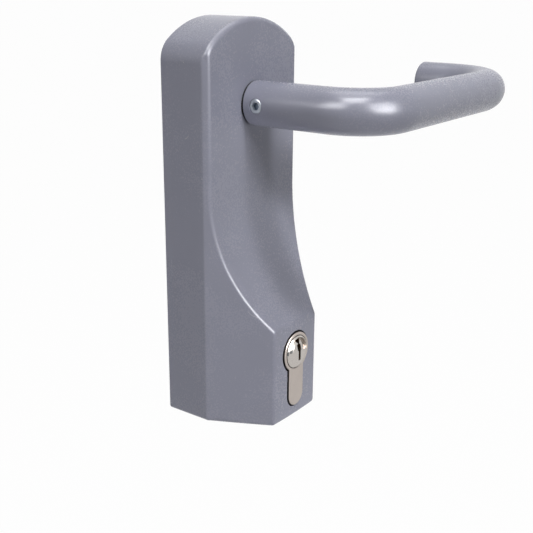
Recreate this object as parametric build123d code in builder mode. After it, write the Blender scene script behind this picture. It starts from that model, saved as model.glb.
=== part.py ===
import math
import os

from build123d import *

os.makedirs("parts", exist_ok=True)

# Exit device outside lever, in millimetres. The door's face is the plane y = 0, the unit stands out towards -y,
# +z is up, and the origin is on the lever's axis.

# Casing, outside
casing_width = 59.0
side_depth = 20.5
facet_angle = 31.0
upper_depth = 23.0
lower_depth = 45.0
scoop_radius = 78.0
step_above_cylinder = 13.0
crown_z = 33.3
arch_radius = 43.0
shoulder_radius = 10.0
foot_below_cylinder = 29.9
bottom_radius = 300.0
bottom_corner_radius = 2.0
front_edge_radius = 2.0
step_edge_radius = 3.0
wall = 3.0

# Lever bar
bar_dia = 18.0
grip_y = -78.0
return_x = 121.0
return_end_y = -35.4
neck_bend_radius = 20.0
return_bend_radius = 28.0
bar_end_rounding = 1.2
lever_turn = 45.0

# Lever bearing
spigot_dia = 16.0
neck_slot = 1.1
neck_lip = 1.5
bush_nose_wall = 0.6
bush_nose_gap = 0.3
boss_dia = 28.0
boss_back_y = -12.0
bush_dia = 22.0

# Drive hub
hub_end_play = 0.5
flange_thickness = 4.0
flange_radius = 18.0
lug_reach = 26.0
lug_width = 8.0
shank_size = 9.0
shank_length = 22.0
collar_radius = 10.0
journal_radius = 7.0
socket_size = 8.1
socket_depth = 8.0
set_screw_dia = 6.0
set_screw_y = -30.0
set_screw_recess = 0.3
set_screw_hex = 3.0
stop_radius = 12.8
stop_pin_dia = 3.0
stop_play_angle = 1.0

# Return spring
spring_wire = 1.6
spring_pitch = 1.9
spring_turns = 2.5
spring_leg_reach = 27.0

# Chassis plate
plate_thickness = 2.0
washer_thickness = 0.5
lug_thickness = 2.0
lug_height = 8.0
plate_lug_x = 7.0

# Fixing posts, tapped M5, and plate screws, M4
fixing_spacing_x = 40.0
fixing_top_z = 16.0
fixing_bottom_z = -50.0
fixing_post_dia = 9.0
fixing_tap_dia = 4.2
fixing_tap_depth = 15.0
fixing_clear_dia = 5.5
plate_screw_x = 21.5
plate_screw_top_z = -30.0
plate_screw_foot = 9.5
plate_screw_post_dia = 11.0
plate_screw_dia = 4.0
plate_screw_head_dia = 7.5
plate_screw_length = 10.0

# Euro profile cylinder
cylinder_z = -102.0
cylinder_proud = 0.75
cylinder_length = 45.0
profile_dia = 17.0
profile_height = 33.0
profile_leg_width = 10.0
cam_distance = 35.0
cam_gap = 10.0
cylinder_cutout_gap = 0.7
plug_dia = 14.0
plug_proud = 0.6
plug_edge = 0.5
plug_rim_gap = 0.3
plug_rim_depth = 0.8
plug_dish_depth = 1.4
plug_dish_dia = 12.6
plug_island_dia = 7.8
plug_dish_angle = 170.0
keyway_hole_dia = 2.7
keyway_hole_x = 0.3
keyway_hole_z = 5.2
keyway_neck_width = 1.1
keyway_wide_width = 2.4
keyway_wide_top_z = 3.4
keyway_wide_bottom_z = 0.2
keyway_lean = 1.0
keyway_blade_width = 1.5
keyway_blade_bottom_z = -4.2
keyway_depth = 28.0
bridge_height = 8.0
cylinder_screw_dia = 5.0
cylinder_screw_head_dia = 8.5
cylinder_screw_head_height = 3.0

# Pin stacks
pin_count = 5
pin_pitch = 5.0
first_pin_distance = 6.0
pin_dia = 2.9
chamber_dia = 3.0
key_pin_length = 3.4
driver_pin_length = 5.0
cap_length = 2.0
pin_spring_wire = 0.4
pin_spring_turns = 7

# Cam and lock slide
cam_ring_dia = 16.5
cam_tail_dia = 10.0
cam_tail_flat = 4.0
cam_nose_radius = 11.0
cam_nose_width = 7.0
cam_rest_angle = -45.0
plug_turn = 90.0
slide_thickness = 2.5
slide_front_y = -11.0
slide_half_width = 11.0
slide_cam_gap = 1.25
slide_end_wall = 4.1
slide_top_wall = 3.2
slide_finger_gap = 2.4
slide_bite = 4.5
slide_shoulder_drop = 2.4
fork_gap = 0.7
fork_x = 9.5
fork_end_gap = 0.7
fork_wall = 3.0
fork_shoulder = 8.5
guide_pin_dia = 5.0
guide_collar_dia = 8.0
guide_tenon_dia = 4.0
clip_thickness = 0.7
clip_dia = 9.0
detent_span = 20.0
detent_pin_dia = 4.0
detent_strip = 0.6
detent_depth = 1.5
detent_gap = 2.2

# Fits
press_gap = 0.02
running_gap = 0.05
loose_gap = 0.25
axial_gap = 0.1

# Places that follow from the sizes above
half_width = casing_width / 2
facet_slope = math.tan(math.radians(facet_angle))
scoop_rise = math.sqrt(scoop_radius**2 - (scoop_radius - lower_depth + upper_depth) ** 2)
step_z = cylinder_z + step_above_cylinder
scoop_top_z = step_z + scoop_rise
bottom_z = cylinder_z - foot_below_cylinder
plate_screw_bottom_z = bottom_z + plate_screw_foot
bar_radius = bar_dia / 2
spigot_radius = spigot_dia / 2
bar_shoulder_y = -upper_depth - neck_slot
bush_front_y = -upper_depth + neck_lip
bush_nose_radius = spigot_radius + running_gap + bush_nose_wall
flange_front_y = boss_back_y + hub_end_play
flange_back_y = flange_front_y + flange_thickness
plate_front_y = -plate_thickness
collar_back_y = plate_front_y - washer_thickness - axial_gap
journal_end_y = -axial_gap
cylinder_front_y = -lower_depth - cylinder_proud
cylinder_back_y = cylinder_front_y + cylinder_length
plug_face_y = cylinder_front_y - plug_proud
cam_y = cylinder_front_y + cam_distance
cam_front_y = cam_y - cam_gap / 2
cam_back_y = cam_y + cam_gap / 2
profile_bottom_z = cylinder_z + profile_dia / 2 - profile_height
cylinder_screw_z = profile_bottom_z + bridge_height / 2
slide_travel = 2 * cam_nose_radius * math.sin(math.radians(plug_turn / 2))
slide_back_y = slide_front_y + slide_thickness
fork_z = cylinder_z + cam_nose_radius * math.sin(math.radians(cam_rest_angle))
finger_right_x = -lug_width / 2 - slide_finger_gap
finger_top_z = -lug_reach + slide_bite - slide_travel
shoulder_z = -lug_reach - slide_shoulder_drop - slide_travel
slide_bottom_z = cylinder_z + cam_ring_dia / 2 + slide_cam_gap
fork_arm_top_z = slide_bottom_z + fork_shoulder
slot_half = guide_pin_dia / 2 + running_gap
slot_top_z = shoulder_z - slide_top_wall
slot_bottom_z = slide_bottom_z + slide_end_wall
guide_upper_z = slot_top_z - slot_half - loose_gap
guide_lower_z = slot_bottom_z + slide_travel + slot_half + loose_gap
detent_z = guide_lower_z
spring_radius = boss_dia / 2 + 2 * loose_gap + spring_wire / 2
spring_front_y = -upper_depth + wall + loose_gap + spring_wire / 2
post_distance = math.hypot(fixing_spacing_x / 2, fixing_top_z)
post_half_angle = math.asin((fixing_post_dia / 2 + spring_wire / 2 + axial_gap) / post_distance)
spring_leg_angle = math.degrees(math.atan2(fixing_top_z, fixing_spacing_x / 2) + post_half_angle)
fixing_points = [(sx * fixing_spacing_x / 2, z) for sx in (-1, 1) for z in (fixing_bottom_z, fixing_top_z)]
plate_screw_points = [(sx * plate_screw_x, z) for sx in (-1, 1) for z in (plate_screw_bottom_z, plate_screw_top_z)]
guide_points = [(0, guide_upper_z), (0, guide_lower_z)]
detent_x = -slide_half_width - detent_gap
detent_pin_x = detent_x - detent_strip / 2 - detent_pin_dia / 2
detent_points = [(detent_pin_x, detent_z + s * detent_span / 2) for s in (-1, 1)]
pin_ys = [cylinder_front_y + first_pin_distance + i * pin_pitch for i in range(pin_count)]


def at_y(y):
    # Sketch plane parallel to the door, x right and z up, whose normal points out of the door
    return Plane.XZ.offset(-y)


def casing_outline(inset):
    # Front outline: arched crown, straight sides, slightly bowed bottom
    side_top_z = crown_z - arch_radius + math.sqrt(arch_radius**2 - half_width**2)
    side_bottom_z = bottom_z + bottom_radius - math.sqrt(bottom_radius**2 - half_width**2)
    with BuildSketch() as outline:
        with BuildLine():
            ThreePointArc((-half_width, side_top_z), (0, crown_z), (half_width, side_top_z))
            Line((half_width, side_top_z), (half_width, side_bottom_z))
            ThreePointArc((half_width, side_bottom_z), (0, bottom_z), (-half_width, side_bottom_z))
            Line((-half_width, side_bottom_z), (-half_width, side_top_z))
        make_face()
        fillet(outline.vertices().group_by(Axis.Y)[-1], radius=shoulder_radius)
        fillet(outline.vertices().group_by(Axis.Y)[0], radius=bottom_corner_radius)
        if inset:
            offset(amount=-inset, mode=Mode.REPLACE)
    return outline.sketch


def casing_bulk(inset):
    # The casing's outer form, or the same form moved in by one wall
    front_half = half_width - facet_slope * (lower_depth - side_depth)
    upper_y = -upper_depth + inset
    lower_y = -lower_depth + inset
    reach = scoop_radius + inset
    drop = math.sqrt(reach**2 - (reach - (upper_y - lower_y)) ** 2)
    outline = casing_outline(inset)
    with BuildPart() as bulk:
        with BuildSketch(Plane.XZ):
            add(outline)
        extrude(amount=lower_depth)
        with BuildSketch(Plane.XY.offset(bottom_z)):
            Polygon(
                (-half_width, inset), (-half_width, -side_depth), (-front_half, -lower_depth),
                (front_half, -lower_depth), (half_width, -side_depth), (half_width, inset), align=None,
            )
            if inset:
                offset(amount=-inset, kind=Kind.INTERSECTION, mode=Mode.REPLACE)
        extrude(amount=crown_z - bottom_z, mode=Mode.INTERSECT)
        with BuildSketch(Plane.YZ.offset(-half_width)):
            with BuildLine():
                Polyline((lower_y, scoop_top_z - drop), (lower_y, bottom_z), (0, bottom_z), (0, crown_z),
                         (upper_y, crown_z), (upper_y, scoop_top_z))
                TangentArc((upper_y, scoop_top_z), (lower_y, scoop_top_z - drop), tangent=(0, -1))
            make_face()
        extrude(amount=casing_width, mode=Mode.INTERSECT)
    return bulk.part


def euro_profile(gap):
    # Round head with a leg below it, around the plug's axis
    with BuildSketch() as profile:
        leg = profile_leg_width / 2 + gap
        Circle(profile_dia / 2 + gap)
        with BuildLine():
            Polyline((leg, profile_bottom_z - cylinder_z + leg - gap), (leg, 0), (-leg, 0),
                     (-leg, profile_bottom_z - cylinder_z + leg - gap))
            ThreePointArc((-leg, profile_bottom_z - cylinder_z + leg - gap),
                          (0, profile_bottom_z - cylinder_z - gap),
                          (leg, profile_bottom_z - cylinder_z + leg - gap))
        make_face()
    return profile.sketch


def tail_section(gap):
    # Round tail with one flat on top, which drives the cam
    with BuildSketch() as section:
        Circle(cam_tail_dia / 2 + gap)
        with Locations((0, cam_tail_flat + gap)):
            Rectangle(2 * cam_tail_dia, cam_tail_dia, align=(Align.CENTER, Align.MIN), mode=Mode.SUBTRACT)
    return section.sketch


def wind(path, wire):
    # Round wire wound along a helix
    with BuildPart() as wound:
        with BuildSketch(Plane(path @ 0, z_dir=path % 0)):
            Circle(wire / 2)
        sweep(path=path, is_frenet=True)
    return wound.part


def back_planes(points, y=0):
    # Planes at points of the back, facing the door
    return [Plane((x, y, z), x_dir=(1, 0, 0), z_dir=(0, 1, 0)) for x, z in points]


# Casing: die-cast shell with tapped posts and a bearing boss, open at the back
outer_form = casing_bulk(0)
inner_form = casing_bulk(wall)
cylinder_cutout = euro_profile(cylinder_cutout_gap)
with BuildPart() as cavity:
    add(inner_form)
    with BuildSketch(at_y(plate_front_y)):
        with Locations(*fixing_points):
            Circle(fixing_post_dia / 2)
        with Locations(*plate_screw_points):
            Circle(plate_screw_post_dia / 2)
    extrude(amount=lower_depth, mode=Mode.SUBTRACT)
    with BuildSketch(at_y(boss_back_y)):
        Circle(boss_dia / 2)
    extrude(amount=lower_depth, mode=Mode.SUBTRACT)

with BuildPart() as casing:
    add(outer_form)
    step_edge = casing.edges().filter_by(Axis.X).filter_by_position(Axis.Y, -lower_depth, -lower_depth)
    fillet(step_edge.sort_by(Axis.Z)[-1], radius=step_edge_radius)
    front_edges = casing.edges().filter_by(lambda e: e.center().Y < -1)
    fillet(front_edges.filter_by(lambda e: e.bounding_box().max.Y < -side_depth / 2), radius=front_edge_radius)
    add(cavity.part, mode=Mode.SUBTRACT)
    with BuildSketch(at_y(0)):
        Circle(bush_nose_radius + press_gap)
    extrude(amount=lower_depth, mode=Mode.SUBTRACT)
    with BuildSketch(at_y(0)):
        Circle(bush_dia / 2)
    extrude(amount=upper_depth - neck_lip, mode=Mode.SUBTRACT)
    with BuildSketch(at_y(-lower_depth + 2 * wall)):
        with Locations((0, cylinder_z)):
            add(cylinder_cutout)
    extrude(amount=3 * wall, mode=Mode.SUBTRACT)
    with BuildSketch(at_y(plate_front_y)):
        with Locations(*fixing_points):
            Circle(fixing_tap_dia / 2)
    extrude(amount=fixing_tap_depth, mode=Mode.SUBTRACT)
    with BuildSketch(at_y(plate_front_y)):
        with Locations(*plate_screw_points):
            Circle(plate_screw_dia / 2)
    extrude(amount=plate_screw_length, mode=Mode.SUBTRACT)
casing.part.label = "casing"
export_step(casing.part, "parts/casing.step")

# Lever: one bar bent twice, with a turned spigot, a square socket and a tapped hole at its root
with BuildPart() as lever:
    with BuildLine() as bar_path:
        FilletPolyline((0, flange_front_y), (0, grip_y), (return_x, grip_y), (return_x, return_end_y),
                       radius=[neck_bend_radius, return_bend_radius])
    with BuildSketch(at_y(flange_front_y)):
        Circle(bar_radius)
    sweep(path=bar_path.wires()[0])
    end_face = lever.faces().filter_by(Axis.Y).sort_by(Axis.X)[-1]
    fillet(end_face.edges(), radius=bar_end_rounding)
    with BuildSketch(at_y(flange_front_y)):
        Circle(2 * bar_radius)
        Circle(spigot_radius, mode=Mode.SUBTRACT)
    extrude(amount=flange_front_y - bar_shoulder_y, mode=Mode.SUBTRACT)
    with BuildSketch(at_y(flange_front_y)):
        Rectangle(shank_size + 2 * running_gap, shank_size + 2 * running_gap)
    extrude(amount=shank_length + axial_gap, mode=Mode.SUBTRACT)
    with BuildSketch(Plane.YZ.offset(-bar_radius)):
        with Locations((set_screw_y, 0)):
            Circle(set_screw_dia / 2)
    extrude(amount=bar_radius, mode=Mode.SUBTRACT)
lever.part.label = "lever"
export_step(lever.part, "parts/lever.step")

# Set screw: hexagon socket, cup end on the shank's flat
with BuildPart() as lever_set_screw:
    screw_face_x = -bar_radius + set_screw_recess
    screw_end_x = -shank_size / 2 - running_gap
    with BuildSketch(Plane.YZ.offset(screw_face_x)):
        with Locations((set_screw_y, 0)):
            Circle(set_screw_dia / 2 - press_gap)
    extrude(amount=screw_end_x - screw_face_x)
    chamfer(lever_set_screw.edges().filter_by(GeomType.CIRCLE), length=0.4)
    with BuildSketch(Plane.YZ.offset(screw_face_x)):
        with Locations((set_screw_y, 0)):
            RegularPolygon(set_screw_hex / 2, 6, major_radius=False)
    extrude(amount=2 * set_screw_hex / 3, mode=Mode.SUBTRACT)
lever_set_screw.part.label = "lever_set_screw"
export_step(lever_set_screw.part, "parts/lever_set_screw.step")

# Bush: plain bearing for the spigot, pressed into the boss, its nose filling the slot behind the bar's shoulder
with BuildPart() as lever_bush:
    with BuildSketch(at_y(boss_back_y)):
        Circle(bush_dia / 2 - press_gap)
    extrude(amount=boss_back_y - bush_front_y)
    with BuildSketch(at_y(bush_front_y)):
        Circle(bush_nose_radius)
    extrude(amount=bush_front_y - bar_shoulder_y - bush_nose_gap)
    with BuildSketch(at_y(boss_back_y)):
        Circle(spigot_radius + running_gap)
    extrude(amount=boss_back_y - bar_shoulder_y, mode=Mode.SUBTRACT)
lever_bush.part.label = "lever_bush"
export_step(lever_bush.part, "parts/lever_bush.step")

# Return spring: coil around the boss, one leg against the right upper post, the other in the hub's flange
spring_path = Helix(spring_pitch, spring_pitch * spring_turns, spring_radius, (0, spring_front_y, 0), (0, 1, 0))
spring_start = spring_path @ 0
spring_start_angle = math.degrees(math.atan2(spring_start.Z, spring_start.X))
spring_path = spring_path.rotate(Axis.Y, spring_start_angle - spring_leg_angle)
spring_start = spring_path @ 0
spring_end = spring_path @ 1
spring_coil = wind(spring_path, spring_wire)
with BuildPart() as return_spring:
    add(spring_coil)
    with BuildSketch(Plane(spring_start, z_dir=(spring_start.X, 0, spring_start.Z))):
        Circle(spring_wire / 2)
    extrude(amount=spring_leg_reach - spring_radius)
    with BuildSketch(Plane(spring_end, z_dir=(0, 1, 0))):
        Circle(spring_wire / 2)
    extrude(amount=flange_back_y - spring_end.Y)
    with Locations(spring_start, spring_end):
        Sphere(spring_wire / 2)
return_spring.part.label = "return_spring"
export_step(return_spring.part, "parts/return_spring.step")

# Drive hub: square shank, flange with lock lug and stop slot, collar, journal and spindle socket
stop_arc = CenterArc((0, 0), stop_radius, 90 - stop_play_angle, lever_turn + 2 * stop_play_angle)
with BuildPart() as drive_hub:
    with BuildSketch(at_y(flange_back_y)):
        Circle(flange_radius)
        with Locations((0, -lug_reach / 2)):
            Rectangle(lug_width, lug_reach)
    extrude(amount=flange_thickness)
    with BuildSketch(at_y(flange_front_y)):
        Rectangle(shank_size, shank_size)
    extrude(amount=shank_length)
    with BuildSketch(at_y(collar_back_y)):
        Circle(collar_radius)
    extrude(amount=collar_back_y - flange_back_y)
    with BuildSketch(at_y(journal_end_y)):
        Circle(journal_radius)
    extrude(amount=journal_end_y - collar_back_y)
    with BuildSketch(at_y(journal_end_y)):
        Rectangle(socket_size, socket_size)
    extrude(amount=socket_depth, mode=Mode.SUBTRACT)
    with BuildSketch(at_y(flange_back_y)):
        SlotArc(stop_arc, height=stop_pin_dia + 2 * loose_gap)
        with Locations((spring_end.X, spring_end.Z)):
            Circle(spring_wire / 2 + loose_gap)
    extrude(amount=flange_thickness, mode=Mode.SUBTRACT)
drive_hub.part.label = "drive_hub"
export_step(drive_hub.part, "parts/drive_hub.step")

# Thrust washer: between the hub's collar and the plate
with BuildPart() as thrust_washer:
    with BuildSketch(at_y(plate_front_y)):
        Circle(collar_radius)
        Circle(journal_radius + loose_gap, mode=Mode.SUBTRACT)
    extrude(amount=washer_thickness)
thrust_washer.part.label = "thrust_washer"
export_step(thrust_washer.part, "parts/thrust_washer.step")

# Stop pin: stands on the plate in the flange's arc slot
with BuildPart() as stop_pin:
    with BuildSketch(at_y(-axial_gap)):
        with Locations((0, stop_radius)):
            Circle(stop_pin_dia / 2)
    extrude(amount=-axial_gap - flange_front_y)
stop_pin.part.label = "stop_pin"
export_step(stop_pin.part, "parts/stop_pin.step")

# Chassis plate: closes the casing's back, with a lug for the cylinder's screw
plate_outline = casing_outline(wall + loose_gap)
cylinder_back_cutout = euro_profile(loose_gap)
lug_front_y = cam_y - lug_height / 2 - plate_thickness
with BuildPart() as chassis_plate:
    with BuildSketch(at_y(0)):
        add(plate_outline)
        Circle(journal_radius + running_gap, mode=Mode.SUBTRACT)
        with Locations(*fixing_points):
            Circle(fixing_clear_dia / 2, mode=Mode.SUBTRACT)
        with Locations((0, stop_radius)):
            Circle(stop_pin_dia / 2 + press_gap, mode=Mode.SUBTRACT)
        with Locations(*guide_points):
            Circle(guide_tenon_dia / 2 + press_gap, mode=Mode.SUBTRACT)
        with Locations(*detent_points):
            Circle(detent_pin_dia / 2 + press_gap, mode=Mode.SUBTRACT)
        with Locations((0, cylinder_z)):
            add(cylinder_back_cutout, mode=Mode.SUBTRACT)
    extrude(amount=plate_thickness)
    with Locations(*back_planes(plate_screw_points)):
        CounterSinkHole(plate_screw_dia / 2 + loose_gap, plate_screw_head_dia / 2 + press_gap)
    with BuildSketch(at_y(plate_front_y)):
        with Locations((plate_lug_x + lug_thickness / 2, cylinder_screw_z)):
            Rectangle(lug_thickness, lug_height)
    extrude(amount=plate_front_y - lug_front_y)
    with BuildSketch(Plane.YZ.offset(plate_lug_x)):
        with Locations((cam_y, cylinder_screw_z)):
            Circle(cylinder_screw_dia / 2 + loose_gap)
    extrude(amount=lug_thickness, mode=Mode.SUBTRACT)
chassis_plate.part.label = "chassis_plate"
export_step(chassis_plate.part, "parts/chassis_plate.step")

# Plate screws: countersunk, flush with the back
with BuildPart() as plate_screws:
    head_height = (plate_screw_head_dia - plate_screw_dia) / 2
    with Locations(*back_planes(plate_screw_points)):
        Cylinder(
            plate_screw_dia / 2 - press_gap, plate_thickness + plate_screw_length - axial_gap,
            align=(Align.CENTER, Align.CENTER, Align.MAX),
        )
        Cone(
            plate_screw_dia / 2 - press_gap, plate_screw_head_dia / 2, head_height,
            align=(Align.CENTER, Align.CENTER, Align.MAX),
        )
        Box(plate_screw_head_dia / 2, 0.8, 1, align=(Align.CENTER, Align.CENTER, Align.MAX), mode=Mode.SUBTRACT)
        Box(0.8, plate_screw_head_dia / 2, 1, align=(Align.CENTER, Align.CENTER, Align.MAX), mode=Mode.SUBTRACT)
plate_screws.part.label = "plate_screws"
export_step(plate_screws.part, "parts/plate_screws.step")

# Cylinder body: Euro profile with plug bore, cam gap and pin chambers
cylinder_profile = euro_profile(0)
plug_bore = plug_dia / 2 + running_gap
with BuildPart() as cylinder_body:
    with BuildSketch(at_y(cylinder_back_y)):
        with Locations((0, cylinder_z)):
            add(cylinder_profile)
    extrude(amount=cylinder_length)
    fillet(cylinder_body.faces().sort_by(Axis.Y)[0].edges(), radius=0.3)
    with BuildSketch(at_y(cam_back_y)):
        with Locations((0, cylinder_z)):
            Circle(plug_bore)
    extrude(amount=cylinder_length, mode=Mode.SUBTRACT)
    with BuildSketch(at_y(cylinder_front_y)):
        with Locations((0, cylinder_z)):
            Circle(plug_bore + plug_rim_gap)
    extrude(amount=-plug_rim_depth, mode=Mode.SUBTRACT)
    with BuildSketch(at_y(cam_back_y)):
        with Locations((0, profile_bottom_z + bridge_height)):
            Rectangle(2 * profile_dia, profile_height, align=(Align.CENTER, Align.MIN))
    extrude(amount=cam_gap, mode=Mode.SUBTRACT)
    with BuildSketch(Plane.XY.offset(profile_bottom_z)):
        with Locations(*[(0, y) for y in pin_ys]):
            Circle(chamber_dia / 2)
    extrude(amount=cylinder_z - profile_bottom_z, mode=Mode.SUBTRACT)
    with BuildSketch(Plane.YZ.offset(-profile_leg_width)):
        with Locations((cam_y, cylinder_screw_z)):
            Circle(cylinder_screw_dia / 2)
    extrude(amount=2 * profile_leg_width, mode=Mode.SUBTRACT)
cylinder_body.part.label = "cylinder_body"
export_step(cylinder_body.part, "parts/cylinder_body.step")

# Cylinder plug: dished above its middle, keyway, clip groove, and a flatted tail for the cam
clip_front_y = cam_front_y + axial_gap
clip_back_y = clip_front_y + clip_thickness
plug_end_y = clip_back_y + clip_thickness
groove_radius = plug_dia / 2 - clip_thickness
key_pin_bottom = plug_dia / 2 - loose_gap
plug_tail = tail_section(0)
with BuildPart() as cylinder_plug:
    with BuildSketch(at_y(plug_end_y)):
        with Locations((0, cylinder_z)):
            Circle(plug_dia / 2)
    extrude(amount=plug_end_y - plug_face_y)
    chamfer(cylinder_plug.faces().sort_by(Axis.Y)[0].edges(), length=plug_edge)
    with BuildSketch(Plane.XY.offset(cylinder_z)):
        Polygon(
            (plug_island_dia / 2, plug_face_y), (plug_dish_dia / 2, plug_face_y + plug_dish_depth),
            (plug_dish_dia / 2, plug_face_y), align=None,
        )
    revolve(axis=Axis((0, 0, cylinder_z), (0, -1, 0)), revolution_arc=plug_dish_angle, mode=Mode.SUBTRACT)
    with BuildSketch(at_y(plug_end_y)):
        with Locations((0, cylinder_z)):
            add(plug_tail)
    extrude(amount=plug_end_y - cam_back_y + axial_gap)
    with BuildSketch(at_y(clip_back_y + axial_gap / 2)):
        with Locations((0, cylinder_z)):
            Circle(plug_dia)
            Circle(groove_radius, mode=Mode.SUBTRACT)
    extrude(amount=clip_thickness + axial_gap, mode=Mode.SUBTRACT)
    with BuildSketch(at_y(plug_face_y + keyway_depth)):
        with Locations((keyway_hole_x, cylinder_z + keyway_hole_z)):
            Circle(keyway_hole_dia / 2)
            Rectangle(keyway_neck_width, keyway_hole_z - keyway_wide_top_z, align=(Align.CENTER, Align.MAX))
        with Locations((keyway_hole_x, cylinder_z)):
            Polygon(
                (-keyway_wide_width / 2, keyway_wide_top_z), (keyway_wide_width / 2, keyway_wide_top_z),
                (keyway_wide_width / 2 + keyway_lean, keyway_wide_bottom_z),
                (-keyway_wide_width / 2 + keyway_lean, keyway_wide_bottom_z), align=None,
            )
        with Locations((keyway_hole_x + keyway_lean, cylinder_z + keyway_wide_bottom_z)):
            Rectangle(
                keyway_blade_width, keyway_wide_bottom_z - keyway_blade_bottom_z, align=(Align.CENTER, Align.MAX),
            )
    extrude(amount=keyway_depth, mode=Mode.SUBTRACT)
    with BuildSketch(Plane.XY.offset(cylinder_z - plug_dia / 2)):
        with Locations(*[(0, y) for y in pin_ys]):
            Circle(chamber_dia / 2)
    extrude(amount=plug_dia / 2 - key_pin_bottom + key_pin_length + axial_gap, mode=Mode.SUBTRACT)
cylinder_plug.part.label = "cylinder_plug"
export_step(cylinder_plug.part, "parts/cylinder_plug.step")

# Cylinder cam: ring on the plug's tail, with a round-ended nose
cam_bore = tail_section(press_gap)
with BuildPart() as cylinder_cam:
    with BuildSketch(at_y(cam_back_y - axial_gap)):
        with Locations((0, cylinder_z)):
            Circle(cam_ring_dia / 2)
            with PolarLocations(cam_nose_radius / 2, 1, start_angle=cam_rest_angle):
                Rectangle(cam_nose_radius, cam_nose_width)
            with PolarLocations(cam_nose_radius, 1, start_angle=cam_rest_angle):
                Circle(cam_nose_width / 2)
            add(cam_bore, mode=Mode.SUBTRACT)
    extrude(amount=cam_back_y - 2 * axial_gap - plug_end_y)
cylinder_cam.part.label = "cylinder_cam"
export_step(cylinder_cam.part, "parts/cylinder_cam.step")

# Plug clip: open ring in the plug's groove, behind the front half of the body
with BuildPart() as plug_clip:
    with BuildSketch(at_y(clip_back_y)):
        with Locations((0, cylinder_z)):
            Circle(plug_dia / 2 + clip_thickness)
            Circle(groove_radius + press_gap, mode=Mode.SUBTRACT)
            with Locations((0, plug_dia / 2)):
                Rectangle(plug_dia / 3, plug_dia / 2, mode=Mode.SUBTRACT)
    extrude(amount=clip_thickness)
plug_clip.part.label = "plug_clip"
export_step(plug_clip.part, "parts/plug_clip.step")

# Cylinder screw: through the plate's lug into the body's bridge
screw_seat_x = plate_lug_x + lug_thickness
with BuildPart() as cylinder_screw:
    with BuildSketch(Plane.YZ.offset(screw_seat_x)):
        with Locations((cam_y, cylinder_screw_z)):
            Circle(cylinder_screw_dia / 2 - press_gap)
    extrude(amount=-screw_seat_x - profile_leg_width / 2 + axial_gap)
    with BuildSketch(Plane.YZ.offset(screw_seat_x)):
        with Locations((cam_y, cylinder_screw_z)):
            Circle(cylinder_screw_head_dia / 2)
    extrude(amount=cylinder_screw_head_height)
    fillet(cylinder_screw.edges().filter_by(GeomType.CIRCLE).sort_by(Axis.X)[-1], radius=0.6)
    with BuildSketch(Plane.YZ.offset(screw_seat_x + cylinder_screw_head_height)):
        with Locations((cam_y, cylinder_screw_z)):
            RegularPolygon(cylinder_screw_dia / 3, 6, major_radius=False)
    extrude(amount=-cylinder_screw_head_height / 2, mode=Mode.SUBTRACT)
cylinder_screw.part.label = "cylinder_screw"
export_step(cylinder_screw.part, "parts/cylinder_screw.step")

# Pin stacks: key pins in the plug, driver pins, springs and caps in the body
key_pin_z = cylinder_z - key_pin_bottom
driver_top_z = cylinder_z - plug_bore - axial_gap
driver_bottom_z = driver_top_z - driver_pin_length
cap_bottom_z = profile_bottom_z + axial_gap
cap_top_z = cap_bottom_z + cap_length
pin_points = [(0, y) for y in pin_ys]
with BuildPart() as key_pins:
    with BuildSketch(Plane.XY.offset(key_pin_z)):
        with Locations(*pin_points):
            Circle(pin_dia / 2)
    extrude(amount=key_pin_length)
    chamfer(key_pins.edges().filter_by(GeomType.CIRCLE).group_by(Axis.Z)[-1], length=pin_dia / 4)
key_pins.part.label = "key_pins"
export_step(key_pins.part, "parts/key_pins.step")

with BuildPart() as driver_pins:
    with BuildSketch(Plane.XY.offset(driver_bottom_z)):
        with Locations(*pin_points):
            Circle(pin_dia / 2)
    extrude(amount=driver_pin_length)
driver_pins.part.label = "driver_pins"
export_step(driver_pins.part, "parts/driver_pins.step")

with BuildPart() as chamber_caps:
    with BuildSketch(Plane.XY.offset(cap_bottom_z)):
        with Locations(*pin_points):
            Circle(chamber_dia / 2 - press_gap)
    extrude(amount=cap_length)
chamber_caps.part.label = "chamber_caps"
export_step(chamber_caps.part, "parts/chamber_caps.step")

pin_spring_radius = chamber_dia / 2 - loose_gap - pin_spring_wire / 2
pin_spring_height = driver_bottom_z - cap_top_z - pin_spring_wire
pin_spring_start_z = cap_top_z + pin_spring_wire / 2
pin_spring_path = Helix(pin_spring_height / pin_spring_turns, pin_spring_height, pin_spring_radius)
pin_coil = wind(pin_spring_path, pin_spring_wire)
with BuildPart() as pin_springs:
    with Locations(*[(0, y, pin_spring_start_z) for y in pin_ys]):
        add(pin_coil)
pin_springs.part.label = "pin_springs"
export_step(pin_springs.part, "parts/pin_springs.step")

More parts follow.
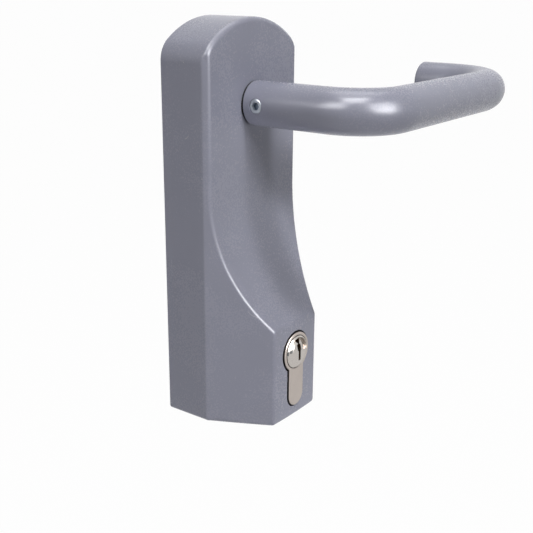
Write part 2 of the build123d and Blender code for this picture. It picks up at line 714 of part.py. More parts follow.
# Lock slide: finger beside the hub's lug, guide slot, detent notches and a fork around the cam's nose
fork_half = cam_nose_width / 2 + fork_gap
fork_end_x = cam_nose_radius + cam_nose_width / 2 + fork_end_gap
arm_right_x = fork_end_x + fork_wall
notch_half = detent_depth + loose_gap
with BuildPart() as lock_slide:
    with BuildSketch(at_y(slide_back_y)):
        Polygon(
            (-slide_half_width, finger_top_z), (finger_right_x, finger_top_z), (finger_right_x, shoulder_z),
            (slide_half_width, shoulder_z), (slide_half_width, fork_arm_top_z), (arm_right_x, fork_arm_top_z),
            (arm_right_x, fork_z - fork_half - fork_wall), (fork_x, fork_z - fork_half - fork_wall),
            (fork_x, fork_z - fork_half), (fork_end_x, fork_z - fork_half), (fork_end_x, fork_z + fork_half),
            (fork_x, fork_z + fork_half), (fork_x, slide_bottom_z), (-slide_half_width, slide_bottom_z), align=None,
        )
        with Locations((0, (slot_top_z + slot_bottom_z) / 2)):
            SlotOverall(slot_top_z - slot_bottom_z, 2 * slot_half, rotation=90, mode=Mode.SUBTRACT)
        for notch_z in (detent_z, detent_z - slide_travel):
            Polygon(
                (-slide_half_width, notch_z + notch_half), (-slide_half_width + notch_half, notch_z),
                (-slide_half_width, notch_z - notch_half), align=None, mode=Mode.SUBTRACT,
            )
    extrude(amount=slide_thickness)
lock_slide.part.label = "lock_slide"
export_step(lock_slide.part, "parts/lock_slide.step")

# Guide pins: tenon in the plate, collar behind the slide, grooved pin through its slot
pin_groove_radius = guide_pin_dia / 2 - clip_thickness
guide_collar_y = slide_back_y + axial_gap
guide_clip_y = slide_front_y - axial_gap
guide_end_y = guide_clip_y - 2 * clip_thickness
with BuildPart() as slide_guide_pins:
    with BuildSketch(at_y(-axial_gap)):
        with Locations(*guide_points):
            Circle(guide_tenon_dia / 2)
    extrude(amount=-axial_gap - plate_front_y)
    with BuildSketch(at_y(plate_front_y)):
        with Locations(*guide_points):
            Circle(guide_collar_dia / 2)
    extrude(amount=plate_front_y - guide_collar_y)
    with BuildSketch(at_y(guide_collar_y)):
        with Locations(*guide_points):
            Circle(guide_pin_dia / 2)
    extrude(amount=guide_collar_y - guide_end_y)
    with BuildSketch(at_y(guide_clip_y + press_gap)):
        with Locations(*guide_points):
            Circle(guide_pin_dia)
            Circle(pin_groove_radius, mode=Mode.SUBTRACT)
    extrude(amount=clip_thickness + 2 * press_gap, mode=Mode.SUBTRACT)
slide_guide_pins.part.label = "slide_guide_pins"
export_step(slide_guide_pins.part, "parts/slide_guide_pins.step")

# Slide clips: open rings in the pins' grooves
with BuildPart() as slide_clips:
    with BuildSketch(at_y(guide_clip_y)):
        with Locations(*guide_points):
            Circle(clip_dia / 2)
            Circle(pin_groove_radius + press_gap, mode=Mode.SUBTRACT)
            with Locations((clip_dia / 4, 0)):
                Rectangle(clip_dia / 2, pin_groove_radius, mode=Mode.SUBTRACT)
    extrude(amount=clip_thickness)
slide_clips.part.label = "slide_clips"
export_step(slide_clips.part, "parts/slide_clips.step")

# Detent: leaf with a nose in the slide's notch, hooked behind two pins
leaf_nose_x = -slide_half_width + detent_depth - detent_strip
leaf_half = detent_span / 2 + detent_pin_dia / 2 + detent_strip / 2
nose_half = leaf_nose_x - detent_x
with BuildPart() as detent_spring:
    with BuildSketch(at_y(slide_back_y)):
        with BuildLine():
            Polyline(
                (detent_pin_x - detent_pin_dia / 2, detent_z + leaf_half), (detent_x, detent_z + leaf_half),
                (detent_x, detent_z + nose_half), (leaf_nose_x, detent_z), (detent_x, detent_z - nose_half),
                (detent_x, detent_z - leaf_half), (detent_pin_x - detent_pin_dia / 2, detent_z - leaf_half),
            )
        trace(line_width=detent_strip)
    extrude(amount=slide_thickness)
detent_spring.part.label = "detent_spring"
export_step(detent_spring.part, "parts/detent_spring.step")

with BuildPart() as detent_pins:
    with BuildSketch(at_y(-axial_gap)):
        with Locations(*detent_points):
            Circle(detent_pin_dia / 2)
    extrude(amount=-axial_gap - slide_front_y)
detent_pins.part.label = "detent_pins"
export_step(detent_pins.part, "parts/detent_pins.step")
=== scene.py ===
import math

import bpy
from mathutils import Matrix, Vector


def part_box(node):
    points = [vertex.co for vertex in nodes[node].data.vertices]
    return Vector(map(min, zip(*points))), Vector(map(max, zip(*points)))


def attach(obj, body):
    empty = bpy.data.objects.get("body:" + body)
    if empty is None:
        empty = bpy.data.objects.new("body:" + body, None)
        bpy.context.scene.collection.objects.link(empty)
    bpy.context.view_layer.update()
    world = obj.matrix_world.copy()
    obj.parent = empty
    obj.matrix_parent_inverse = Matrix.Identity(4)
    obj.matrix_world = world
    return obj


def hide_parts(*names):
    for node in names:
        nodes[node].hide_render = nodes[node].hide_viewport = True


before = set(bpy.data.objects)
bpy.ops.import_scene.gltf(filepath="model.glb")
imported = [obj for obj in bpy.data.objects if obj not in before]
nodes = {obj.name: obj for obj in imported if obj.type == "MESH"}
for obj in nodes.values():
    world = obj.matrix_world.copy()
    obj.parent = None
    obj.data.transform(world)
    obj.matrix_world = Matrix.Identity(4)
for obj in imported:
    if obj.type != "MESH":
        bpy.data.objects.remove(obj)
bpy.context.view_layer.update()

scene = bpy.context.scene
scene.view_settings.view_transform = "Standard"
print("frame loaded:", len(nodes), "CAD nodes")


class Wire:
    # a node socket that can be used in sums
    def __init__(self, graph, socket):
        self.graph = graph
        self.socket = socket

    def combine(self, operation, a, b):
        return self.graph.add("ShaderNodeMath", {"operation": operation}, {0: a, 1: b})

    def __add__(self, other):
        return self.combine("ADD", self, other)

    def __radd__(self, other):
        return self.combine("ADD", other, self)

    def __sub__(self, other):
        return self.combine("SUBTRACT", self, other)

    def __rsub__(self, other):
        return self.combine("SUBTRACT", other, self)

    def __mul__(self, other):
        return self.combine("MULTIPLY", self, other)

    def __rmul__(self, other):
        return self.combine("MULTIPLY", other, self)

    def __truediv__(self, other):
        return self.combine("DIVIDE", self, other)

    def __rtruediv__(self, other):
        return self.combine("DIVIDE", other, self)

    def __pow__(self, other):
        return self.combine("POWER", self, other)

    def __rpow__(self, other):
        return self.combine("POWER", other, self)

    def __lt__(self, other):
        return self.combine("LESS_THAN", self, other)

    def __gt__(self, other):
        return self.combine("GREATER_THAN", self, other)


class Graph:
    # a node tree with one way to add a node
    def __init__(self, tree):
        self.tree = tree

    def add(self, kind, setup=None, inputs=None, out=0):
        node = self.tree.nodes.new(kind)
        for key, value in (setup or {}).items():
            setattr(node, key, value)
        for key, value in (inputs or {}).items():
            for part in value if isinstance(value, list) else [value]:
                if isinstance(part, Wire):
                    self.tree.links.new(part.socket, node.inputs[key])
                else:
                    node.inputs[key].default_value = part
        return Wire(self, node.outputs[out]) if len(node.outputs) else node


def least(a, b):
    wire = a if isinstance(a, Wire) else b
    return wire.combine("MINIMUM", a, b)


def most(a, b):
    wire = a if isinstance(a, Wire) else b
    return wire.combine("MAXIMUM", a, b)


def weigh(patterns, shares):
    # the patterns added up, each with its share
    first, *others = [pattern * share for pattern, share in zip(patterns, shares)]
    return sum(others, first)


def grey(level):
    return (level, level, level, 1)


def newFinish(name, fixed):
    # a Principled material whose uniform values are set on the shader itself
    material = bpy.data.materials.new(name)
    material.use_nodes = True
    graph = Graph(material.node_tree)
    shader = material.node_tree.nodes["Principled BSDF"]
    for key, value in fixed.items():
        shader.inputs[key].default_value = value
    spot = graph.add("ShaderNodeTexCoord", out="Object")
    return material, graph, shader, spot


def feed(graph, shader, **links):
    for key, wire in links.items():
        graph.tree.links.new(wire.socket, shader.inputs[key.replace("_", " ")])


def noise(graph, spot, scale, detail):
    return graph.add("ShaderNodeTexNoise", {}, {"Vector": spot, "Scale": scale, "Detail": detail})


def mixColour(graph, factor, dark, light):
    # the Mix node's colour sockets are 6 and 7, and its colour comes out at 2
    setup = {"data_type": "RGBA"}
    return graph.add("ShaderNodeMix", setup, {"Factor": factor, 6: dark, 7: light}, out=2)


def bump(graph, height, strength, distance):
    return graph.add("ShaderNodeBump", {}, {"Height": height, "Strength": strength, "Distance": distance})


def fade(graph, value, low, high):
    # 0 below low, 1 above high, smooth between
    setup = {"interpolation_type": "SMOOTHSTEP"}
    return graph.add("ShaderNodeMapRange", setup, {"Value": value, "From Min": low, "From Max": high})


def away(graph, spot, place):
    return graph.add("ShaderNodeVectorMath", {"operation": "DISTANCE"}, {0: spot, 1: place}, out="Value")


def axis(graph, spot, letter):
    return graph.add("ShaderNodeSeparateXYZ", {}, {0: spot}, out=letter)


paintLook = {
    "dark": (0.234, 0.238, 0.293, 1), "light": (0.254, 0.258, 0.318, 1),
    "roughness": 0.27, "roughnessSwing": 0.05, "specular": 0.3,
    "cloudScale": 40, "cloudDetail": 3,
    "grainScale": 1500, "grainDetail": 1.5, "grainShare": 0.6,      # pigment grain, about 0.7 mm
    "peelScale": 2000, "peelDetail": 1.5, "peelDepth": 0.00001,
    "fleck": (0.42, 0.42, 0.45, 1), "fleckScale": 130, "fleckSize": 0.020, "fleckEdge": 0.036,
    "casingPeel": 0.8, "leverPeel": 1.0,
}

# short pale scratches on the casing: start, middle, end
scratches = [
    [(-0.02045, -0.03556, -0.0804), (-0.0197, -0.0368, -0.0818), (-0.0183, -0.0389, -0.0829)],
    [(0.0087, -0.0449, -0.0896), (0.0094, -0.0447, -0.0889), (0.0101, -0.0444, -0.0881)],
    [(-0.0295, -0.0133, -0.0107), (-0.0295, -0.0127, -0.0114), (-0.0295, -0.0117, -0.0119)],
]
scratchLook = {"core": 0.000066, "width": 0.00022, "strength": 0.6}


def stroke(graph, spot, points):
    # 1 on a thin line through the points, 0 elsewhere
    mask = None
    for start, end in zip(points, points[1:]):
        run = Vector(end) - Vector(start)
        offset = graph.add("ShaderNodeVectorMath", {"operation": "SUBTRACT"}, {0: spot, 1: start})
        ends = {0: offset, 1: run}
        along = graph.add("ShaderNodeVectorMath", {"operation": "DOT_PRODUCT"}, ends, out="Value")
        share = least(most(along / run.length_squared, 0.0), 1.0)
        foot = graph.add("ShaderNodeVectorMath", {"operation": "SCALE"}, {0: run, "Scale": share})
        near = 1 - fade(graph, away(graph, offset, foot), scratchLook["core"], scratchLook["width"])
        mask = near if mask is None else most(mask, near)
    return mask


def silverPaint(name, peel, marks=()):
    # satin silver-grey paint: faint cloudiness, pigment grain, orange peel and a few pale flecks
    look = paintLook
    swing = look["roughnessSwing"]
    material, graph, shader, spot = newFinish(name, {"Specular IOR Level": look["specular"]})
    cloud = noise(graph, spot, look["cloudScale"], look["cloudDetail"])
    grain = noise(graph, spot, look["grainScale"], look["grainDetail"])
    tone = weigh((cloud, grain), (1 - look["grainShare"], look["grainShare"]))
    colour = mixColour(graph, tone, look["dark"], look["light"])
    cells = graph.add("ShaderNodeTexVoronoi", {}, {"Vector": spot, "Scale": look["fleckScale"]})
    pale = 1 - fade(graph, cells, look["fleckSize"], look["fleckEdge"])
    for points in marks:
        pale = most(pale, stroke(graph, spot, points) * scratchLook["strength"])
    skin = noise(graph, spot, look["peelScale"], look["peelDetail"])
    feed(graph, shader,
         Base_Color=mixColour(graph, pale, colour, look["fleck"]),
         Roughness=look["roughness"] - swing + weigh((cloud, grain), (swing, swing)),
         Normal=bump(graph, skin, peel, look["peelDepth"]))
    return material


metalLooks = {
    "satinNickel": {
        "dark": (0.31, 0.275, 0.25, 1), "light": (0.50, 0.445, 0.41, 1), "roughness": 0.36, "scale": 1400,
    },
    "brightNickel": {
        "dark": (0.42, 0.39, 0.365, 1), "light": (0.54, 0.505, 0.475, 1), "roughness": 0.24, "scale": 1400,
    },
    "screwSteel": {
        "dark": (0.40, 0.43, 0.46, 1), "light": (0.52, 0.55, 0.58, 1), "roughness": 0.36, "scale": 900,
    },
    "zincPlate": {
        "dark": (0.50, 0.51, 0.52, 1), "light": (0.62, 0.62, 0.61, 1), "roughness": 0.32, "scale": 240,
    },
    "machinedSteel": {
        "dark": (0.36, 0.36, 0.37, 1), "light": (0.46, 0.46, 0.47, 1), "roughness": 0.38, "scale": 900,
    },
    "springSteel": {
        "dark": (0.22, 0.22, 0.23, 1), "light": (0.30, 0.30, 0.31, 1), "roughness": 0.40, "scale": 700,
    },
    "brass": {
        "dark": (0.55, 0.38, 0.14, 1), "light": (0.68, 0.50, 0.22, 1), "roughness": 0.30, "scale": 800,
    },
}

# the marks on every metal are lines, clouds and speckle, and the shares come in that order
metalMarks = {
    "lineStretch": (1.0, 1.0, 0.12), "finer": (4, 1 / 8, 2), "detail": (2, 3, 2),
    "colourShares": (0.3, 0.3, 0.4), "roughnessShares": (0.08, 0.06, 0.04),
    "lineStrength": 0.15, "lineDepth": 0.00002,
}

plugLow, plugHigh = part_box("cylinder_plug")
plugFace = plugLow[1]
plugHeight = (plugLow[2] + plugHigh[2]) / 2
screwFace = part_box("lever_set_screw")[0][0]
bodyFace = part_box("cylinder_body")[0][1]

# where a metal changes colour past a depth, as bare brass in the keyway or as painted shade on the cylinder's
# flank and in the screw's socket: each pair is where the change starts and where it is full
recesses = {
    "brightNickel": {       # bare brass in the keyway
        "axis": "Y", "from": (plugFace + 0.0004, plugFace + 0.0012), "across": (0.0017, 0.0020),
        "colour": (0.32, 0.16, 0.06, 1),
    },
    "satinNickel": {        # painted shade on the cylinder's flank in its cut-out
        "axis": "Y", "from": (bodyFace + 0.0003, bodyFace + 0.0006),
        "until": (bodyFace + 0.006, bodyFace + 0.012), "colour": (0.04, 0.035, 0.035, 1),
    },
    "screwSteel": {         # painted shade in the hexagon socket
        "axis": "X", "from": (screwFace + 0.0005, screwFace + 0.0016), "colour": (0.11, 0.13, 0.16, 1),
    },
}

# painted shade and painted dark reflection at the left end of the plug's dish
dishShade = {
    "behind": (plugFace, plugFace + 0.0001), "left": (-0.0036, -0.0031),
    "above": (plugHeight, plugHeight + 0.0003), "below": (plugHeight + 0.0017, plugHeight + 0.0023),
    "colour": grey(0.07), "roughness": 0.45,
}


def recessMask(graph, spot, recess):
    depth = axis(graph, spot, recess["axis"])
    inside = fade(graph, depth, *recess["from"])
    if "until" in recess:
        inside = inside * (1 - fade(graph, depth, *recess["until"]))
    if "across" in recess:
        sideways = graph.add("ShaderNodeMath", {"operation": "ABSOLUTE"}, {0: axis(graph, spot, "X")})
        inside = inside * (1 - fade(graph, sideways, *recess["across"]))
    return inside


# mask of the painted shade at the left end of the plug's dish
def grimeMask(graph, spot):
    x, y, z = (axis(graph, spot, letter) for letter in "XYZ")
    end = fade(graph, y, *dishShade["behind"]) * (1 - fade(graph, x, *dishShade["left"]))
    return end * fade(graph, z, *dishShade["above"]) * (1 - fade(graph, z, *dishShade["below"]))


def bareMetal(name):
    # plated or machined metal: uneven sheen and fine marks along one direction
    look = metalLooks[name]
    material, graph, shader, spot = newFinish(name, {"Metallic": 1.0})
    stretched = graph.add("ShaderNodeMapping", {}, {"Vector": spot, "Scale": metalMarks["lineStretch"]})
    spread = zip((stretched, spot, spot), metalMarks["finer"], metalMarks["detail"])
    marks = [noise(graph, place, look["scale"] * finer, detail) for place, finer, detail in spread]
    colour = mixColour(graph, weigh(marks, metalMarks["colourShares"]), look["dark"], look["light"])
    shares = metalMarks["roughnessShares"]
    rough = look["roughness"] - sum(shares) / 2 + weigh(marks, shares)
    # the recess colour is bare brass in the keyway and painted shade on the cylinder's flank and in the
    # screw's socket
    if name in recesses:
        recess = recesses[name]
        colour = mixColour(graph, recessMask(graph, spot, recess), colour, recess["colour"])
    # painted shade at the left end of the plug's dish, made rougher and less metallic there
    if name == "brightNickel":
        shaded = grimeMask(graph, spot)
        colour = mixColour(graph, shaded, colour, dishShade["colour"])
        rough = rough + shaded * dishShade["roughness"]
        feed(graph, shader, Metallic=1 - shaded)
    relief = bump(graph, marks[0], metalMarks["lineStrength"], metalMarks["lineDepth"])
    feed(graph, shader, Base_Color=colour, Roughness=rough, Normal=relief)
    return material


polymerLook = {
    "dark": (0.006, 0.006, 0.006, 1), "light": (0.014, 0.014, 0.015, 1), "specular": 0.1,
    "roughness": 0.47, "roughnessSwing": 0.15,
    "grainScale": 1500, "grainDetail": 2, "grainStrength": 0.2, "grainDepth": 0.00003,
}


def blackPolymer():
    look = polymerLook
    material, graph, shader, spot = newFinish("blackPolymer", {"Specular IOR Level": look["specular"]})
    grain = noise(graph, spot, look["grainScale"], look["grainDetail"])
    feed(graph, shader,
         Base_Color=mixColour(graph, grain, look["dark"], look["light"]),
         Roughness=look["roughness"] + grain * look["roughnessSwing"],
         Normal=bump(graph, grain, look["grainStrength"], look["grainDepth"]))
    return material


casingPaint = silverPaint("casingPaint", paintLook["casingPeel"], scratches)
leverPaint = silverPaint("leverPaint", paintLook["leverPeel"])
metals = {name: bareMetal(name) for name in metalLooks}
polymer = blackPolymer()
print("finishes made")

nodeFinish = {
    "casing": casingPaint, "lever": leverPaint, "lever_bush": polymer, "thrust_washer": polymer,
    "lever_set_screw": metals["screwSteel"],
    "plate_screws": metals["zincPlate"], "chassis_plate": metals["zincPlate"],
    "lock_slide": metals["zincPlate"], "cylinder_screw": metals["zincPlate"],
    "cylinder_body": metals["satinNickel"], "cylinder_plug": metals["brightNickel"],
    "drive_hub": metals["machinedSteel"], "stop_pin": metals["machinedSteel"],
    "slide_guide_pins": metals["machinedSteel"], "detent_pins": metals["machinedSteel"],
    "cylinder_cam": metals["machinedSteel"], "return_spring": metals["springSteel"],
    "slide_clips": metals["springSteel"], "detent_spring": metals["springSteel"],
    "plug_clip": metals["springSteel"], "pin_springs": metals["springSteel"],
    "key_pins": metals["brass"], "driver_pins": metals["brass"], "chamber_caps": metals["brass"],
}
for name, finish in nodeFinish.items():
    mesh = nodes[name].data
    mesh.materials.clear()
    mesh.materials.append(finish)


def newTree(name, sizes):
    # a Geometry Nodes tree with one named input for each size
    tree = bpy.data.node_groups.new(name, "GeometryNodeTree")
    tree.interface.new_socket("Geometry", in_out="INPUT", socket_type="NodeSocketGeometry")
    for key, value in sizes.items():
        kind = "NodeSocketInt" if isinstance(value, int) else "NodeSocketFloat"
        tree.interface.new_socket(key, in_out="INPUT", socket_type=kind)
    tree.interface.new_socket("Geometry", in_out="OUTPUT", socket_type="NodeSocketGeometry")
    return Graph(tree)


def given(graph, name):
    return graph.add("NodeGroupInput", out=name)


def vector(graph, x, y, z):
    return graph.add("ShaderNodeCombineXYZ", {}, {"X": x, "Y": y, "Z": z})


def ringCurve(graph, sides, radius):
    return graph.add("GeometryNodeCurvePrimitiveCircle", {}, {"Resolution": sides, "Radius": radius})


def cutAway(graph, solid, cutters):
    setup = {"operation": "DIFFERENCE", "solver": "EXACT"}
    return graph.add("GeometryNodeMeshBoolean", setup, {"Mesh 1": solid, "Mesh 2": cutters})


def finishTree(graph, shape, finish, sharpDegrees):
    # smooth faces with sharp edges, then one plain mesh with its material
    soft = graph.add("GeometryNodeSetShadeSmooth", {"domain": "FACE"}, {"Geometry": shape})
    sharp = graph.add("GeometryNodeInputMeshEdgeAngle") > math.radians(sharpDegrees)
    edges = {"Geometry": soft, "Selection": sharp, "Shade Smooth": False}
    crisp = graph.add("GeometryNodeSetShadeSmooth", {"domain": "EDGE"}, edges)
    plain = graph.add("GeometryNodeRealizeInstances", {}, {"Geometry": crisp})
    painted = graph.add("GeometryNodeSetMaterial", {}, {"Geometry": plain, "Material": finish})
    graph.add("NodeGroupOutput", {}, {"Geometry": painted})


def grow(name, graph, base, sizes, body, node):
    # run the tree on its base mesh, keep the result as a plain mesh and put it on its body
    piece = bpy.data.objects.new(name, base)
    scene.collection.objects.link(piece)
    modifier = piece.modifiers.new("shape", "NODES")
    modifier.node_group = graph.tree
    for socket in graph.tree.interface.items_tree:
        if socket.in_out == "INPUT" and socket.name in sizes:
            modifier[socket.identifier] = sizes[socket.name]
    evaluated = piece.evaluated_get(bpy.context.evaluated_depsgraph_get())
    solid = bpy.data.meshes.new_from_object(evaluated)
    piece.modifiers.remove(modifier)
    piece.data = solid
    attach(piece, body)
    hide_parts(node)
    print(name, "made:", len(solid.polygons), "faces")


leverLow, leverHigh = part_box("lever")
leverSizes = {
    "Bar Radius": leverHigh[2], "Sides": 96, "Bend Steps": 40, "End Rounding": 0.0012,
    "Root": leverHigh[1], "Socket Width": 0.0091, "Socket Depth": 0.0221,
    "Screw Hole": 0.006, "Screw Place": -0.030,
    "Spigot Radius": 0.008, "Spigot Length": 0.0126,
}
leverRoute = {
    "grip": leverLow[1] + leverHigh[2], "far": leverHigh[0] - leverHigh[2], "end": -0.0354,
    "neckBend": 0.020, "returnBend": 0.028, "roundingSteps": 7, "shoulderStep": 0.00001,
    "cutterClear": 0.001,       # the cutters stand out of the bar by this much
    "holeSides": 48, "sharpDegrees": 25,
}


def leverPath():
    # the bar's centre line, with close points at the spigot's shoulder and where the end is rounded
    route = leverRoute
    rounding = leverSizes["End Rounding"]
    root = leverSizes["Root"]
    shoulder = root - leverSizes["Spigot Length"]
    points = [(0, root, 0.0), (0, shoulder + route["shoulderStep"], 0.0), (0, shoulder, 0.0)]
    points.append((0, route["grip"], route["neckBend"]))
    points.append((route["far"], route["grip"], route["returnBend"]))
    for step in range(route["roundingSteps"] + 1):
        left = rounding * (1 - math.sin(math.radians(90 * step / route["roundingSteps"])))
        points.append((route["far"], route["end"] - left, 0.0))
    mesh = bpy.data.meshes.new("leverPath")
    edges = [(i, i + 1) for i in range(len(points) - 1)]
    mesh.from_pydata([(x, y, 0) for x, y, bend in points], edges, [])
    bends = mesh.attributes.new("bend", "FLOAT", "POINT")
    for item, (x, y, bend) in zip(bends.data, points):
        item.value = bend
    return mesh


def leverTree():
    # a round bar swept along the bent line: thin root, rounded end, square socket and tapped hole
    graph = newTree("leverBar", leverSizes)
    route = leverRoute
    radius = given(graph, "Bar Radius")
    rounding = given(graph, "End Rounding")
    line = graph.add("GeometryNodeMeshToCurve", {}, {"Mesh": given(graph, "Geometry")})
    bend = graph.add("GeometryNodeInputNamedAttribute", {"data_type": "FLOAT"}, {"Name": "bend"})
    corners = {"Curve": line, "Count": given(graph, "Bend Steps"), "Radius": bend}
    line = graph.add("GeometryNodeFilletCurve", {"mode": "POLY"}, corners)
    length = graph.add("GeometryNodeCurveLength", {}, {"Curve": line})
    along = graph.add("GeometryNodeSplineParameter", out="Length")
    left = length - along
    short = most(rounding - left, 0.0)
    drop = rounding - most(rounding * rounding - short * short, 0.0) ** 0.5
    ring = ringCurve(graph, given(graph, "Sides"), radius)
    thin = given(graph, "Spigot Radius") / radius
    past = along > given(graph, "Spigot Length") - route["shoulderStep"] / 2
    width = (thin + past * (1 - thin)) * (1 - drop / radius)
    sweep = {"Curve": line, "Profile Curve": ring, "Scale": width, "Fill Caps": True}
    bar = graph.add("GeometryNodeCurveToMesh", {}, sweep)

    across = given(graph, "Socket Width")
    depth = given(graph, "Socket Depth")
    root = given(graph, "Root")
    clear = route["cutterClear"]
    block = graph.add("GeometryNodeMeshCube", {}, {"Size": vector(graph, across, depth + clear, across)})
    shift = vector(graph, 0.0, root - (depth - clear) / 2, 0.0)
    socket = graph.add("GeometryNodeTransform", {}, {"Geometry": block, "Translation": shift})
    bore = given(graph, "Screw Hole") / 2
    drill = {"Vertices": route["holeSides"], "Radius": bore, "Depth": radius + clear}
    pin = graph.add("GeometryNodeMeshCylinder", {}, drill)
    shift = vector(graph, (radius + clear) / -2, given(graph, "Screw Place"), 0.0)
    turned = {"Geometry": pin, "Translation": shift, "Rotation": (0.0, math.pi / 2, 0.0)}
    hole = graph.add("GeometryNodeTransform", {}, turned)
    finishTree(graph, cutAway(graph, bar, [socket, hole]), leverPaint, route["sharpDegrees"])
    return graph


grow("leverBar", leverTree(), leverPath(), leverSizes, "lever_unit", "lever")

screwLow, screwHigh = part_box("plate_screws")
screwSizes = {
    "Head Radius": 0.00375, "Shank Radius": 0.00198, "Length": screwHigh[1] - screwLow[1],
    "Pitch": 0.0007, "Thread Depth": 0.0003, "Rings": 120, "Sides": 32,
    "Recess Width": 0.0008, "Recess Reach": 0.00375, "Recess Depth": 0.001,
}
screwForm = {
    "tipWidth": 0.7,                # of the shank
    "threadRunIn": (1.2, 2.0),      # where the thread starts and is full, in head heights
    "turnsAhead": 100.0,            # keeps the winding count above zero
    "pointWidth": 1.3,              # of the recess's width
    "pointSides": 16, "leastRadius": 0.0001, "sharpDegrees": 30,
}


def screwPlaces():
    # one point for each screw, in the back's corners
    edge = screwSizes["Head Radius"]
    corners = [(x, screwHigh[1], z) for x in (screwLow[0] + edge, screwHigh[0] - edge)
               for z in (screwLow[2] + edge, screwHigh[2] - edge)]
    mesh = bpy.data.meshes.new("screwPlaces")
    mesh.from_pydata(corners, [], [])
    return mesh


def screwTree():
    # countersunk cross-recess screw, its thread wound round the shank, set on each place
    graph = newTree("plateScrews", screwSizes)
    form = screwForm
    head = given(graph, "Head Radius")
    shank = given(graph, "Shank Radius")
    length = given(graph, "Length")
    rings = given(graph, "Rings")
    step = vector(graph, 0.0, length / (1 - rings), 0.0)
    rows = graph.add("GeometryNodeMeshLine", {"mode": "OFFSET"}, {"Count": rings, "Offset": step})
    spine = graph.add("GeometryNodeMeshToCurve", {}, {"Mesh": rows})
    deep = graph.add("GeometryNodeSplineParameter", out="Length")
    taper = most(shank, head - deep)
    tip = least(1.0, (length - deep) / shank + form["tipWidth"])
    ring = ringCurve(graph, given(graph, "Sides"), 1.0)
    sweep = {"Curve": spine, "Profile Curve": ring, "Scale": taper * tip, "Fill Caps": True}
    body = graph.add("GeometryNodeCurveToMesh", {}, sweep)

    place = graph.add("GeometryNodeInputPosition")
    x, y, z = (axis(graph, place, letter) for letter in "XYZ")
    around = graph.add("ShaderNodeMath", {"operation": "ARCTAN2"}, {0: z, 1: x}) / math.tau
    turns = y / given(graph, "Pitch") + around + form["turnsAhead"]
    wave = graph.add("ShaderNodeMath", {"operation": "PINGPONG"}, {0: turns, 1: 0.5})
    neck = head - shank
    start, full = form["threadRunIn"]
    cut = wave * 2.0 * given(graph, "Thread Depth") * fade(graph, 0.0 - y, neck * start, neck * full)
    shrink = cut / most((x * x + z * z) ** 0.5, form["leastRadius"])
    offset = vector(graph, 0.0 - x * shrink, 0.0, 0.0 - z * shrink)
    threaded = graph.add("GeometryNodeSetPosition", {}, {"Geometry": body, "Offset": offset})

    wide = given(graph, "Recess Width")
    reach = given(graph, "Recess Reach")
    twice = given(graph, "Recess Depth") * 2.0      # half of each cutter stands out of the head
    shapes = [vector(graph, wide, twice, reach), vector(graph, reach, twice, wide)]
    blades = [graph.add("GeometryNodeMeshCube", {}, {"Size": shape}) for shape in shapes]
    point = {
        "Vertices": form["pointSides"], "Depth": twice,
        "Radius Top": 0.0, "Radius Bottom": wide * form["pointWidth"],
    }
    cone = graph.add("GeometryNodeMeshCone", {}, point)
    turned = {"Geometry": cone, "Rotation": (math.pi / 2, 0.0, 0.0)}
    blades.append(graph.add("GeometryNodeTransform", {}, turned))
    screw = cutAway(graph, threaded, blades)
    points = graph.add("GeometryNodeMeshToPoints", {}, {"Mesh": given(graph, "Geometry")})
    shape = graph.add("GeometryNodeInstanceOnPoints", {}, {"Points": points, "Instance": screw})
    shape = graph.add("GeometryNodeRealizeInstances", {}, {"Geometry": shape})
    finishTree(graph, shape, metals["zincPlate"], form["sharpDegrees"])
    return graph


grow("plateScrews", screwTree(), screwPlaces(), screwSizes, "housing", "plate_screws")

studio = {
    "floorZ": -0.42, "floorSize": 30.0, "floorWhite": 0.98, "floorGrey": 0.5, "floorRoughness": 0.9,
    "ambient": 0.0, "aim": (0.02, -0.03, -0.04),
}

# softboxes show as highlights, fills light the surfaces: turn from the front, rise, distance, width and power
softboxes = [
    {"turn": -13, "rise": 27, "reach": 1.3, "size": 0.9, "power": 39.7},
    {"turn": -60, "rise": 65, "reach": 1.3, "size": 0.6, "power": 23.0},
    {"turn": -90, "rise": 35, "reach": 1.3, "size": 0.6, "power": 17.0},
    {"turn": -10, "rise": 12, "reach": 1.3, "size": 0.6, "power": 14.6},
    {"turn": 112, "rise": 78, "reach": 1.3, "size": 0.8, "power": 7.7},
    {"turn": -112, "rise": 27, "reach": 1.3, "size": 0.4, "power": 5.2},
]
fills = [
    {"turn": 140, "rise": 60, "reach": 1.3, "size": 0.5, "power": 4.6},
    {"turn": -16, "rise": 68, "reach": 1.3, "size": 0.2, "power": 7.8},
    {"turn": -11, "rise": 33, "reach": 1.3, "size": 0.2, "power": 5.7},
    {"turn": -49, "rise": 50, "reach": 1.18, "size": 0.15, "power": 3.9},
    {"turn": -93, "rise": -17, "reach": 0.545, "size": 0.3, "power": 0.6},
    {"turn": 15, "rise": -60, "reach": 0.23, "size": 0.06, "power": 0.11},
]


def areaLight(name, look, sheen):
    lamp = bpy.data.lights.new(name, "AREA")
    lamp.energy = look["power"]
    lamp.size = look["size"]
    light = bpy.data.objects.new(name, lamp)
    scene.collection.objects.link(light)
    turn, rise = math.radians(look["turn"]), math.radians(look["rise"])
    way = Vector((math.sin(turn) * math.cos(rise), -math.cos(turn) * math.cos(rise), math.sin(rise)))
    light.location = Vector(studio["aim"]) + way * look["reach"]
    light.rotation_euler = way.to_track_quat("Z", "Y").to_euler()
    light.visible_camera = False
    light.visible_glossy = sheen
    light.visible_diffuse = not sheen


def seenDirectly(graph):
    # 1 for what the camera, a reflection or a clear body sees
    kinds = ("Camera", "Glossy", "Transmission")
    first, *others = [graph.add("ShaderNodeLightPath", out="Is " + kind + " Ray") for kind in kinds]
    return least(sum(others, first), 1.0)


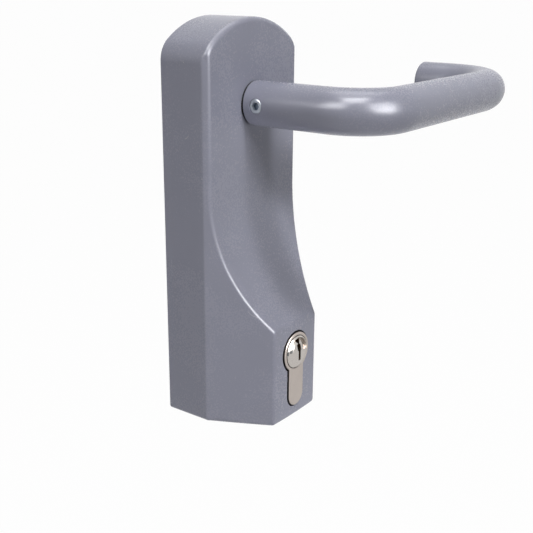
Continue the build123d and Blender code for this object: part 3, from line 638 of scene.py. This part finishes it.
def whiteSurround():
    # the camera and reflections see plain white, and the soft ambient light is set by itself
    world = bpy.data.worlds.new("surround")
    world.use_nodes = True
    scene.world = world
    graph = Graph(world.node_tree)
    level = studio["ambient"] + seenDirectly(graph) * (1 - studio["ambient"])
    background = world.node_tree.nodes["Background"]
    background.inputs["Color"].default_value = grey(1.0)
    graph.tree.links.new(level.socket, background.inputs["Strength"])


def whiteFloor():
    # pale floor that keeps the shadow, white where the camera looks straight at it
    size = studio["floorSize"]
    mesh = bpy.data.meshes.new("floor")
    corners = [(sx * size, sy * size, studio["floorZ"]) for sx, sy in ((-1, -1), (1, -1), (1, 1), (-1, 1))]
    mesh.from_pydata(corners, [], [(0, 1, 2, 3)])
    floor = bpy.data.objects.new("floor", mesh)
    scene.collection.objects.link(floor)
    material = bpy.data.materials.new("paleFloor")
    material.use_nodes = True
    graph = Graph(material.node_tree)
    shader = material.node_tree.nodes["Principled BSDF"]
    shader.inputs["Base Color"].default_value = grey(studio["floorGrey"])
    shader.inputs["Roughness"].default_value = studio["floorRoughness"]
    glow = graph.add("ShaderNodeEmission", {}, {"Color": grey(1.0), "Strength": 1.0})
    share = seenDirectly(graph) * studio["floorWhite"]
    both = graph.add("ShaderNodeMixShader", {}, {0: share, 1: Wire(graph, shader.outputs[0]), 2: glow})
    output = material.node_tree.nodes["Material Output"]
    graph.tree.links.new(both.socket, output.inputs["Surface"])
    mesh.materials.append(material)


for number, look in enumerate(softboxes):
    areaLight("softbox" + str(number), look, True)
for number, look in enumerate(fills):
    areaLight("fill" + str(number), look, False)
whiteSurround()
whiteFloor()
print("studio set")

# the photograph's viewpoint, in metres and degrees
viewpoint = {
    "place": (-0.2880, -0.2418, 0.0474), "yaw": -53.61, "pitch": -17.82, "roll": 0.43,
    "focusPixels": 895.9, "imagePixels": 533, "sensorWidth": 36.0, "clipStart": 0.01,
}
cameraData = bpy.data.cameras.new("camera")
cameraData.sensor_width = viewpoint["sensorWidth"]
cameraData.lens = viewpoint["focusPixels"] * cameraData.sensor_width / viewpoint["imagePixels"]
cameraData.clip_start = viewpoint["clipStart"]
camera = bpy.data.objects.new("camera", cameraData)
scene.collection.objects.link(camera)
turn = Matrix.Rotation(math.radians(viewpoint["yaw"]), 4, "Z")
turn = turn @ Matrix.Rotation(math.radians(90 + viewpoint["pitch"]), 4, "X")
turn = turn @ Matrix.Rotation(math.radians(viewpoint["roll"]), 4, "Z")
camera.matrix_world = Matrix.Translation(viewpoint["place"]) @ turn
scene.camera = camera
print("camera set, lens", round(cameraData.lens, 2), "mm")
